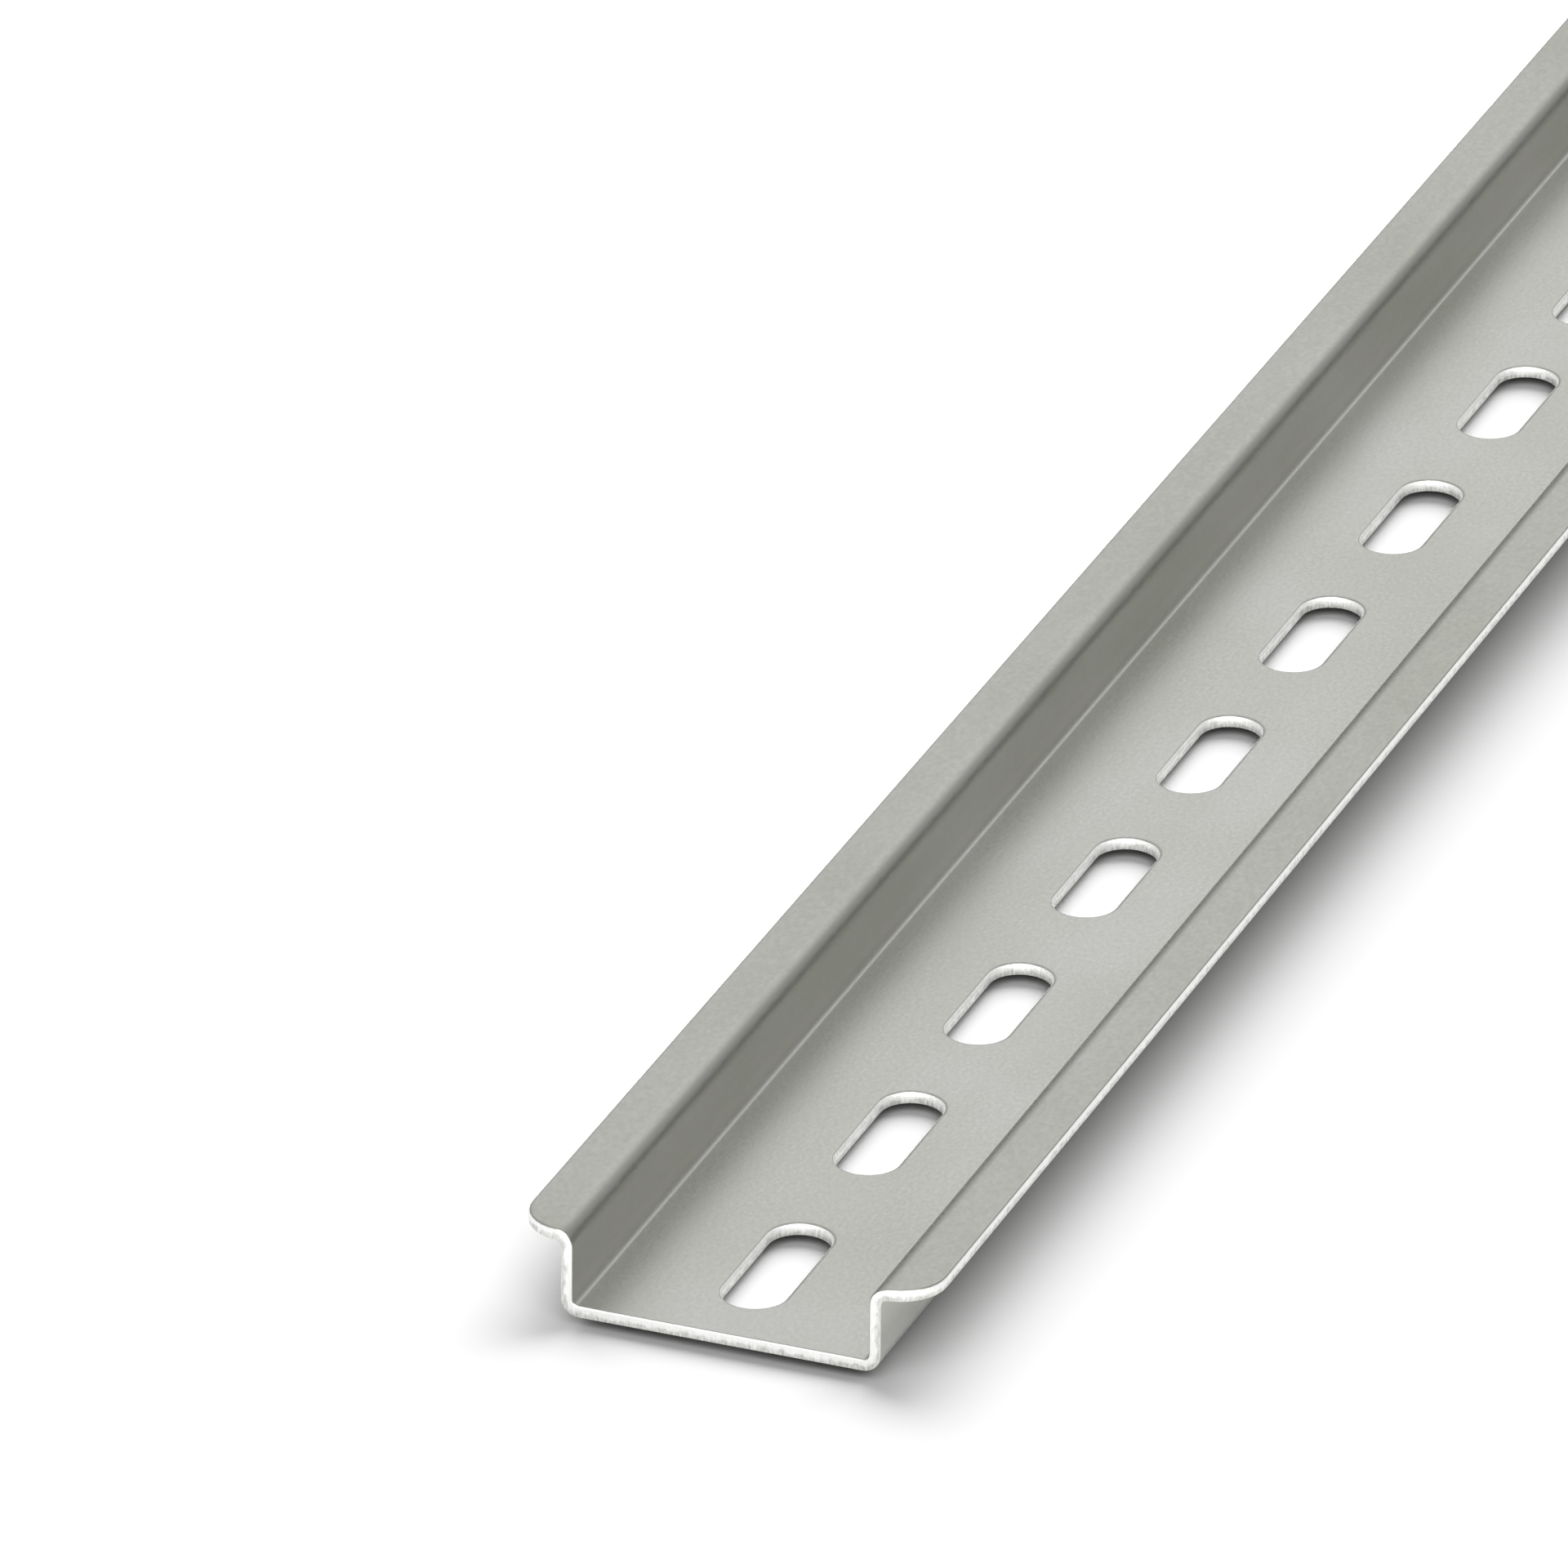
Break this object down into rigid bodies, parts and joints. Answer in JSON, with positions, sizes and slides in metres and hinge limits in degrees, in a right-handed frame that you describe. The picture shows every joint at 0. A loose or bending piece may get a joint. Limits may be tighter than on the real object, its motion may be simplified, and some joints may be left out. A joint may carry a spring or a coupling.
{
  "type": "din rail",
  "caption": "Straight top-hat rail of thin zinc-plated steel: a flat slotted floor, low side walls and outward lips that clip-on devices hook over.",
  "frame": {"origin": "middle of the mounting face: halfway along the rail, on the underside of the floor", "axes": "+X along the rail, +Y across it, +Z from the mounting face to the lips"},
  "size_m": [1, 0.035, 0.0075],
  "materials": {
    "galvanised_steel": "satin zinc plating with faint rolling lines along the rail; brighter sheared and punched edges"
  },
  "bodies": {
    "root": {"rail": "galvanised_steel"}
  },
  "joints": []
}
